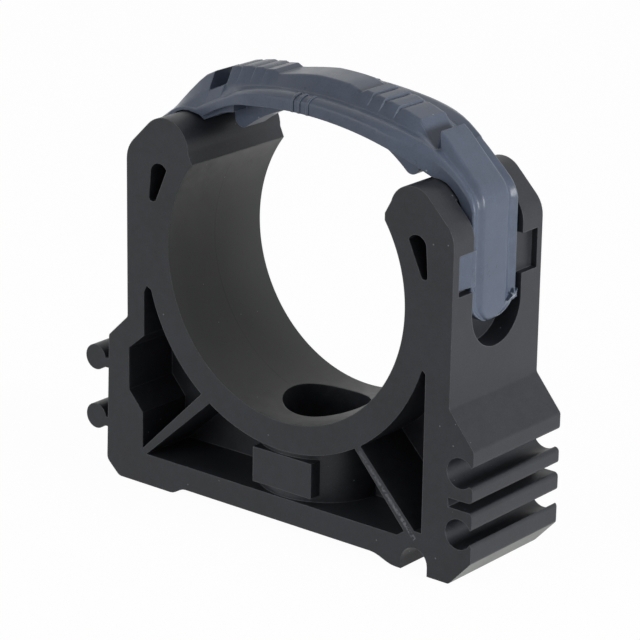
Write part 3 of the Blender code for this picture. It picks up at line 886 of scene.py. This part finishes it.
def left_rings():
    """Sections from the hinge end over the left ear."""
    rings = saddle_rings(-1, ear_left_x, ear_left_z, ear_left_radius + seat_gap, pivot_z, saddle_left_shares)
    values = saddle_left_shares[-1][1:]
    radius = tongue_thickness / 2
    for angle in hinge_end_angles:
        narrow = math.cos(math.radians(angle))
        place = (tongue_back + radius * (1 - narrow), pivot_z - radius * math.sin(math.radians(angle)))
        rings.append(saddle_ring(-1, place, 90, values, narrow))
    return list(reversed(rings))


def right_rings():
    """Sections over the right ear and down the free tongue to its rounded end."""
    straight_end = -tongue_end + tongue_end_length
    radius = ear_right_radius + seat_gap
    rings = saddle_rings(1, ear_right_x, ear_right_z, radius, straight_end, saddle_right_shares)
    values = saddle_right_shares[-1][1:]
    for depth, narrow, thin in tongue_end_shares:
        place = (tongue_back, straight_end - depth * tongue_end_length)
        rings.append(saddle_ring(1, place, 90, values, thin, narrow))
    return rings


def block_places():
    """Places along the grip block: even steps, and the foot and the peak of each tooth."""
    special = [-block_left, block_right]
    for side in (-1, 1):
        for peak in grip_peaks:
            start = peak - grip_slope
            special += [side * peak, side * start]
            if peak != grip_peaks[0]:
                special.append(side * (start - grip_ledge))
    places = list(special)
    count = round((block_left + block_right) / station_step)
    for i in range(1, count):
        x = -block_left + (block_left + block_right) * i / count
        if min(abs(x - place) for place in special) > station_step / 3:
            places.append(x)
    return sorted(places)


def arch_rings():
    rings = [arch_ring(-tab_left_shoulder, -tab_left_shoulder, tab_left_shoulder_height)]
    rings.append(arch_ring(-tab_left, -tab_left, tab_left_height))
    rings.append(arch_ring(-tab_left + end_lean, floor_height=gap_left_heights[1]))
    rings.append(arch_ring(-block_left - end_lean, floor_height=gap_left_heights[0]))
    for x in block_places():
        rings.append(arch_ring(x, x, block_top(x)))
    rings.append(arch_ring(block_right + block_right_lean, floor_height=gap_right_heights[0]))
    rings.append(arch_ring(tab_right - end_lean, floor_height=gap_right_heights[1]))
    rings.append(arch_ring(tab_right + tab_face_skew, tab_right, tab_right_height))
    return rings


def hollow(side):
    """Space under the arch between the rib and one rail."""
    rings = []
    for i in range(ear_arc_steps + 1):
        x = -hollow_left + (hollow_left + hollow_right) * i / ear_arc_steps
        edge = arch_shares(x)[0]
        inner = side * (rib_half_width + rib_step)
        outer = side * (edge * strap_half_width - rail_thickness)
        low = rail_height(x, -overrun)
        high = rail_height(x, underside_height)
        rings.append([(x, inner, low), (x, outer, low), (x, outer, high), (x, inner, high)])
    return loft("hollow", rings)


def rail_arc(left, right, offset, steps):
    """Arc above the rails' lower edge, between two places across the clip."""
    start = 90 + math.degrees(math.asin(left / rail_arc_radius))
    end = 90 - math.degrees(math.asin(right / rail_arc_radius))
    return arc(0, rail_arc_centre, rail_arc_radius + offset, start, end, steps)


def rib_tip(end):
    """Centre of the round at one end of the rib, and its angle seen from the pipe's axis."""
    centre_x = end - rib_tip_round
    distance = rib_inner_radius + rib_tip_round
    centre_z = math.sqrt(distance * distance - centre_x * centre_x)
    return centre_x, centre_z, math.degrees(math.acos(centre_x / distance))


def grip_rib():
    """Rib inside the arch that presses on the pipe."""
    right_x, right_z, right_angle = rib_tip(rib_right_end)
    left_x, left_z, left_angle = rib_tip(rib_left_end)
    outline = rail_arc(rib_left_end, rib_right_end, rib_root, ear_arc_steps * 2)
    outline += arc(right_x, right_z, rib_tip_round, 0, right_angle - 180, ear_arc_steps)
    outline += arc(0, 0, rib_inner_radius, right_angle, 180 - left_angle, ear_arc_steps * 2)[1:-1]
    outline += arc(-left_x, left_z, rib_tip_round, -left_angle, -180, ear_arc_steps)
    return prism("rib", outline, -rib_half_width, rib_half_width)


def hinge_web():
    """Thickened underside between the arch and the left ear."""
    radius = ear_left_radius + seat_gap
    start = math.degrees(math.acos((ear_left_x - web_outer) / radius))
    end = math.degrees(math.acos((ear_left_x - web_end) / radius))
    outline = [(-web_inner, web_inner_height), (-web_knee, web_knee_height)]
    outline += [(-x, z) for x, z in arc(ear_left_x, ear_left_z, radius, 180 - start, 180 - end, corner_steps)]
    outline.append((-web_end, ear_left_z + radius + web_root))
    outline += [(-web_knee, rail_height(web_knee, rib_root)), (-web_inner, rail_height(web_inner, rib_root))]
    return prism("web", outline, -web_half_width, web_half_width)


def build_strap():
    strap = loft("strap", left_rings() + arch_rings() + right_rings())
    for side in (-1, 1):
        cut(strap, hollow(side))
    join(strap, grip_rib())
    join(strap, hinge_web())

    back = post_half_span - notch_depth + seat_gap
    face = tongue_face - skin
    outline = [(back, -tongue_half_width + lug_root), (back, -lug_reach + lug_round)]
    outline += [(back + lug_round / 2, -lug_reach), (face - lug_fall, -lug_reach)]
    outline += [(face - lug_fall / 2, -lug_reach + lug_round * 2), (face, -tongue_half_width + lug_root)]
    join(strap, prism("lug", outline, lug_low, lug_high, "Z"))
    join(strap, cylinder("pin", (pivot_x, pivot_z), pin_radius, -lug_reach, lug_reach, "Y", round_steps))
    return strap


def gate_mark():
    """Torn stub where the plastic was fed into the mould, on the free tongue's rear edge."""
    mesh_data = bmesh.new()
    centre = Vector((tongue_face - gate_sink, gate_y, gate_z))
    low = []
    high = []
    for i, (reach, lift) in enumerate(zip(gate_reaches, gate_lifts)):
        angle = 2 * math.pi * i / len(gate_reaches) + gate_turn
        way = Vector((0, math.cos(angle), math.sin(angle))) * reach * mm
        low.append(mesh_data.verts.new(centre + way * gate_root_share - Vector((gate_depth, 0, 0))))
        high.append(mesh_data.verts.new(centre + way + Vector((lift * mm, 0, 0))))
    mesh_data.faces.new(low)
    peak = mesh_data.verts.new(centre + gate_peak)
    for i in range(len(low)):
        j = (i + 1) % len(low)
        mesh_data.faces.new((low[j], low[i], high[i], high[j]))
        mesh_data.faces.new((high[j], high[i], peak))
    return finish_mesh("gate_mark", mesh_data)


def crown_ribs():
    """Short upright ribs across both rails beside the crown, a little proud of the rail's own curve."""
    ribs = []
    for side in (-1, 1):
        for x in crown_rib_places:
            ring = arch_ring(x, x, block_top(x))
            rail = [point for point in ring[: len(ring) // 2] if point.y > crown_rib_start * strap_half_width]
            outline = []
            for i, point in enumerate(rail):
                along = (rail[min(i + 1, len(rail) - 1)] - rail[max(i - 1, 0)]).normalized()
                outward = Vector((0, -along.z, along.y)) * crown_rib_height
                outline.append((side * (point.y + outward.y), point.z + outward.z))
            outline.append((side * (rail[-1].y - crown_rib_side_root), rail[-1].z + crown_rib_side_lift))
            outline.append((side * (rail[0].y - crown_rib_top_root), rail[0].z - crown_rib_top_drop))
            ribs.append(prism("crown_rib", outline, x - crown_rib_half_width, x + crown_rib_half_width, "X"))
    return ribs


# Finishes. Colours are sRGB. The pale ones are dust, edge wear with a painted highlight, a painted highlight
# along the right diagonal rib, and a painted reflection of the floor on the right foot's slope.
black_body = "2F3136"
# pale edge colour of the black: edge wear with a painted highlight, also the painted highlight along the
# right diagonal rib
black_wear_and_highlight = "777A80"
black_dust = "A0A3A8"
bore_olive = "32342F"
parting_dark = "141517"
# painted reflection of the white floor on the slope under the right foot
floor_reflection_grey_green = "7C8078"
blue_grey_body = "5B6577"
# pale edge colour of the blue-grey: edge wear with a painted highlight
blue_grey_wear_and_highlight = "98A1AE"
blue_grey_dust = "C4CAD2"
cloud_size = 14 * mm
blotch_size = 2.2 * mm
grain_size = 0.35 * mm
grain_depth = 0.04 * mm
wear_and_highlight_size = 1.6 * mm
fleck_size = 0.45 * mm
dust_spacing = 3.2 * mm
dust_radius_share = 0.055
dust_absence = 0.55
dust_cover = 0.45
olive_cover = 0.6
parting_half_width = 0.13 * mm
bore_skin = 0.15 * mm
polypropylene_ior = 1.49
roughness_swing = 0.05
flow_range = (0.7, 1.3)
grain_range = (0.3, 0.7)
fleck_range = (0.38, 0.58)
grain_bump = 0.3
edge_samples = 6
edge_range = (0.99, 0.8)
wear_and_highlight_strength = 1.3
slope_match = 0.97
sharp_angle = 28

# Painted highlight along the front of the right diagonal rib, measured from the pipe's axis
rib_highlight_start = Vector((20.7 * mm, 0, -32.8 * mm))
rib_highlight_end = Vector((35.5 * mm, 0, -48.3 * mm))
rib_highlight_core = 0.1 * mm
rib_highlight_fade = 0.6 * mm
rib_highlight_strength = 1.6
rib_highlight_strength_at_start = 0.25
rib_highlight_depth = 0.3 * mm


def linear(hex_colour):
    """sRGB hex colour as linear values."""
    values = []
    for i in (0, 2, 4):
        c = int(hex_colour[i:i + 2], 16) / 255
        values.append(c / 12.92 if c <= 0.04045 else ((c + 0.055) / 1.055) ** 2.4)
    return (*values, 1.0)


def add_node(tree, kind, settings=None, links=None):
    """One shader node with its settings and the sockets that feed it."""
    node = tree.nodes.new(kind)
    for name, value in (settings or {}).items():
        if isinstance(name, str) and name not in node.inputs:
            setattr(node, name, value)
        else:
            node.inputs[name].default_value = value
    for name, socket in (links or {}).items():
        tree.links.new(socket, node.inputs[name])
    return node


def reckon(tree, kind, operation, *values):
    """Node of one sum. Each value is a number, a vector or the socket that gives it."""
    settings = {"operation": operation}
    links = {}
    for i, value in enumerate(values):
        if isinstance(value, bpy.types.NodeSocket):
            links[i] = value
        else:
            settings[i] = value
    return add_node(tree, kind, settings, links)


def maths(tree, operation, *values):
    return reckon(tree, "ShaderNodeMath", operation, *values).outputs["Value"]


def product(tree, first, *others):
    """All the factors multiplied."""
    for other in others:
        first = maths(tree, "MULTIPLY", first, other)
    return first


def vector_maths(tree, operation, *values):
    return reckon(tree, "ShaderNodeVectorMath", operation, *values).outputs["Vector"]


def measure(tree, operation, *values):
    """Number got from vectors: a length, or how far one goes along another."""
    return reckon(tree, "ShaderNodeVectorMath", operation, *values).outputs["Value"]


def noise(tree, place, size, detail):
    """Soft random pattern with spots of about one size."""
    settings = {"Scale": 1 / size, "Detail": detail}
    return add_node(tree, "ShaderNodeTexNoise", settings, {"Vector": place}).outputs["Fac"]


def remap(tree, value, start, end, low=0.0, high=1.0):
    """Value brought from one range to another, and held inside it."""
    settings = {"From Min": start, "From Max": end, "To Min": low, "To Max": high}
    return add_node(tree, "ShaderNodeMapRange", settings, {"Value": value}).outputs["Result"]


def tint(tree, factor, colour, under):
    """One colour laid over another by a factor."""
    settings = {"data_type": "RGBA", 7: linear(colour)}
    return add_node(tree, "ShaderNodeMix", settings, {0: factor, 6: under}).outputs[2]


def new_material(name):
    material = bpy.data.materials.new(name)
    material.use_nodes = True
    material.node_tree.nodes.clear()
    return material, material.node_tree


def cradle_marks(tree, place, colour, clouds, blotches):
    """Marks that only the cradle has: the olive cast and dark parting line inside the bore, a painted
    highlight along the front of the right diagonal rib, and a painted grey-green reflection of the floor on
    the slope under the right foot."""
    axes = add_node(tree, "ShaderNodeSeparateXYZ", {}, {"Vector": place})
    from_axis = vector_maths(tree, "SUBTRACT", place, (centre_shift, 0, foot_depth))
    radius = measure(tree, "LENGTH", vector_maths(tree, "MULTIPLY", from_axis, (1, 0, 1)))
    inside = maths(tree, "LESS_THAN", radius, bore_radius + bore_skin)
    on_line = maths(tree, "LESS_THAN", maths(tree, "ABSOLUTE", axes.outputs["Y"]), parting_half_width)
    colour = tint(tree, product(tree, inside, olive_cover), bore_olive, colour)
    colour = tint(tree, product(tree, on_line, inside, clouds), parting_dark, colour)

    # Painted highlight along the front of the right diagonal rib, brighter towards its lower end
    length = (rib_highlight_end - rib_highlight_start).length
    along = (rib_highlight_end - rib_highlight_start).normalized()
    from_start = vector_maths(tree, "SUBTRACT", from_axis, rib_highlight_start)
    aside = maths(tree, "ABSOLUTE", measure(tree, "DOT_PRODUCT", from_start, (-along.z, 0, along.x)))
    down = measure(tree, "DOT_PRODUCT", from_start, along)
    rib_highlight = product(
        tree,
        remap(tree, aside, rib_highlight_core, rib_highlight_fade, rib_highlight_strength, 0.0),
        remap(tree, down, 0.0, length, rib_highlight_strength_at_start, 1.0),
        maths(tree, "LESS_THAN", down, length),
        maths(tree, "GREATER_THAN", down, 0.0),
        maths(tree, "LESS_THAN", axes.outputs["Y"], -half_width + rib_highlight_depth),
        remap(tree, noise(tree, place, fleck_size, 2.0), *fleck_range),
    )
    colour = tint(tree, rib_highlight, black_wear_and_highlight, colour)

    # Painted reflection of the floor on the grey-green slope under the right foot
    slope = Vector((chamfer_right_height, 0, -chamfer_right_width)).normalized()
    normal = add_node(tree, "ShaderNodeNewGeometry").outputs["True Normal"]
    sloped = maths(tree, "GREATER_THAN", measure(tree, "DOT_PRODUCT", normal, slope), slope_match)
    low = maths(tree, "LESS_THAN", axes.outputs["Z"], chamfer_right_height)
    return tint(tree, product(tree, sloped, low, blotches), floor_reflection_grey_green, colour)


def moulded_polypropylene(name, body, wear_and_highlight, dust, roughness, specular, edge_round, spread, marks=None):
    """Injection-moulded polypropylene. The spark-eroded mould leaves a fine even grain that dulls the sheen,
    melt flow leaves faint clouds, edges are rubbed a little lighter and carry a painted highlight, and a few
    pale specks of dust lie on it."""
    material, tree = new_material(name)
    place = add_node(tree, "ShaderNodeTexCoord").outputs["Object"]
    clouds = noise(tree, place, cloud_size, 3.0)
    blotches = noise(tree, place, blotch_size, 2.0)
    grain = noise(tree, place, grain_size, 2.0)
    flow = maths(tree, "ADD", clouds, blotches)
    shade = remap(tree, flow, *flow_range, 1 - spread, 1 + spread)
    pepper = remap(tree, grain, *grain_range, 1 - spread, 1 + spread)
    clouded = add_node(tree, "ShaderNodeVectorMath", {"operation": "SCALE", 0: linear(body)[:3]},
                       {"Scale": product(tree, shade, pepper)})
    colour = clouded.outputs["Vector"]
    if marks:
        colour = marks(tree, place, colour, clouds, blotches)

    # Edges: where the rounded normal leaves the face's own, a lighter colour painted for wear and highlight
    settings = {"samples": edge_samples, "Radius": edge_round}
    round_normal = add_node(tree, "ShaderNodeBevel", settings).outputs["Normal"]
    face_normal = add_node(tree, "ShaderNodeNewGeometry").outputs["Normal"]
    edge = remap(tree, measure(tree, "DOT_PRODUCT", round_normal, face_normal), *edge_range, 0.0, wear_and_highlight_strength)
    # painted highlight and wear along the edges
    colour = tint(tree, product(tree, edge, noise(tree, place, wear_and_highlight_size, 3.0)), wear_and_highlight, colour)

    # Dust: small dots, in one cell of a few
    cells = add_node(tree, "ShaderNodeTexVoronoi", {"Scale": 1 / dust_spacing}, {"Vector": place})
    dot = maths(tree, "LESS_THAN", cells.outputs["Distance"], dust_radius_share)
    chance = add_node(tree, "ShaderNodeSeparateColor", {}, {0: cells.outputs["Color"]}).outputs[0]
    few = maths(tree, "GREATER_THAN", chance, dust_absence)
    colour = tint(tree, product(tree, dot, few, dust_cover), dust, colour)

    bump = add_node(tree, "ShaderNodeBump", {"Strength": grain_bump, "Distance": grain_depth},
                    {"Height": grain, "Normal": round_normal})
    sheen = remap(tree, flow, *flow_range, roughness - roughness_swing, roughness + roughness_swing)
    settings = {"IOR": polypropylene_ior, "Specular IOR Level": specular}
    links = {"Base Color": colour, "Roughness": sheen, "Normal": bump.outputs["Normal"]}
    shader = add_node(tree, "ShaderNodeBsdfPrincipled", settings, links)
    add_node(tree, "ShaderNodeOutputMaterial", {}, {"Surface": shader.outputs["BSDF"]})
    return material


def place_piece(obj, body, material):
    """A finished piece in its place on the clip, riding with its body."""
    obj.data.transform(Matrix.Translation(Vector((centre_shift, 0, foot_depth))))
    obj.data.materials.clear()
    obj.data.materials.append(material)
    obj.data.shade_smooth()
    obj.data.set_sharp_from_angle(angle=math.radians(sharp_angle))
    normals = obj.modifiers.new("normals", "WEIGHTED_NORMAL")
    normals.keep_sharp = True
    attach(obj, body)


base = build_base()
base.name = "cradle_moulding"
strap = build_strap()
strap.name = "strap_moulding"
black = moulded_polypropylene(
    "black_moulded_polypropylene", black_body, black_wear_and_highlight, black_dust, roughness=0.42, specular=0.3,
    edge_round=0.35 * mm, spread=0.16, marks=cradle_marks,
)
blue_grey = moulded_polypropylene(
    "blue_grey_moulded_polypropylene", blue_grey_body, blue_grey_wear_and_highlight, blue_grey_dust, roughness=0.32,
    specular=0.3, edge_round=0.28 * mm, spread=0.07,
)
place_piece(base, "clip_base", black)
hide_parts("base")
place_piece(strap, "clip_strap", blue_grey)
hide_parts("strap")
for piece in [gate_mark()] + crown_ribs():
    place_piece(piece, "clip_strap", blue_grey)


# Studio: a pale floor under a white surround that lights the clip only faintly, a low key light from the
# right, almost square to the right post's outer face, and a weak fill from the left front.
surround_seen = 1.0
surround_light = 0.2
floor_paint = (0.9, 0.9, 0.9, 1)
floor_glow = 1.04
floor_glow_share = 0.93
floor_reach = 3.0
floor_drop = 0.05 * mm
light_aim = Vector((0, 0, 50 * mm))


def set_camera():
    azimuth = math.radians(camera_azimuth)
    elevation = math.radians(camera_elevation)
    roll = math.radians(camera_roll)
    flat = math.cos(elevation)
    back = Vector((math.sin(azimuth) * flat, -math.cos(azimuth) * flat, math.sin(elevation)))
    level = Vector((math.cos(azimuth), math.sin(azimuth), 0))
    upright = back.cross(level)
    right = level * math.cos(roll) + upright * math.sin(roll)
    up = upright * math.cos(roll) - level * math.sin(roll)
    axis = Vector((centre_shift, 0, foot_depth))
    place = axis + back * camera_distance - right * camera_right - up * camera_up
    data = bpy.data.cameras.new("camera")
    data.lens = camera_lens
    data.sensor_width = camera_sensor
    data.clip_start = 0.01
    camera = bpy.data.objects.new("camera", data)
    bpy.context.scene.collection.objects.link(camera)
    turn = Matrix((right, up, back)).transposed().to_4x4()
    camera.matrix_world = Matrix.Translation(place) @ turn
    bpy.context.scene.camera = camera


def soft_light(name, azimuth, elevation, distance, size, power):
    """Round soft box, placed by its angle from the front towards the right and its height angle."""
    across = math.radians(azimuth)
    rise = math.radians(elevation)
    way = Vector((math.sin(across) * math.cos(rise), -math.cos(across) * math.cos(rise), math.sin(rise)))
    data = bpy.data.lights.new(name, "AREA")
    data.shape = "DISK"
    data.size = size
    data.energy = power
    light = bpy.data.objects.new(name, data)
    light.location = light_aim + way * distance
    light.rotation_euler = way.to_track_quat("Z", "Y").to_euler()
    bpy.context.scene.collection.objects.link(light)


def white_seen(tree):
    """Factor that is one for the rays that see the background straight or in a reflection."""
    rays = add_node(tree, "ShaderNodeLightPath").outputs
    return maths(tree, "MAXIMUM", maths(tree, "MAXIMUM", rays["Is Camera Ray"], rays["Is Glossy Ray"]),
                 rays["Is Transmission Ray"])


def white(strength):
    return {"Color": (1, 1, 1, 1), "Strength": strength}


def studio():
    world = bpy.data.worlds.new("studio")
    bpy.context.scene.world = world
    world.use_nodes = True
    tree = world.node_tree
    tree.nodes.clear()
    seen = add_node(tree, "ShaderNodeBackground", white(surround_seen)).outputs[0]
    lit = add_node(tree, "ShaderNodeBackground", white(surround_light)).outputs[0]
    mix = add_node(tree, "ShaderNodeMixShader", {}, {0: white_seen(tree), 1: lit, 2: seen})
    add_node(tree, "ShaderNodeOutputWorld", {}, {"Surface": mix.outputs[0]})

    mesh = bpy.data.meshes.new("floor")
    sides = ((-1, -1), (1, -1), (1, 1), (-1, 1))
    mesh.from_pydata([(x * floor_reach, y * floor_reach, -floor_drop) for x, y in sides], [], [(0, 1, 2, 3)])
    floor = bpy.data.objects.new("floor", mesh)
    bpy.context.scene.collection.objects.link(floor)
    material, tree = new_material("pale_floor")
    paint = add_node(tree, "ShaderNodeBsdfDiffuse", {"Color": floor_paint}).outputs[0]
    glow = add_node(tree, "ShaderNodeEmission", white(floor_glow)).outputs[0]
    share = product(tree, white_seen(tree), floor_glow_share)
    mix = add_node(tree, "ShaderNodeMixShader", {}, {0: share, 1: paint, 2: glow})
    add_node(tree, "ShaderNodeOutputMaterial", {}, {"Surface": mix.outputs[0]})
    floor.data.materials.append(material)

    soft_light("key", azimuth=95, elevation=7, distance=1.3, size=0.45, power=11)
    soft_light("fill", azimuth=-20, elevation=10, distance=1.4, size=0.9, power=5.2)


set_camera()
studio()
bpy.context.scene.view_settings.view_transform = "Standard"
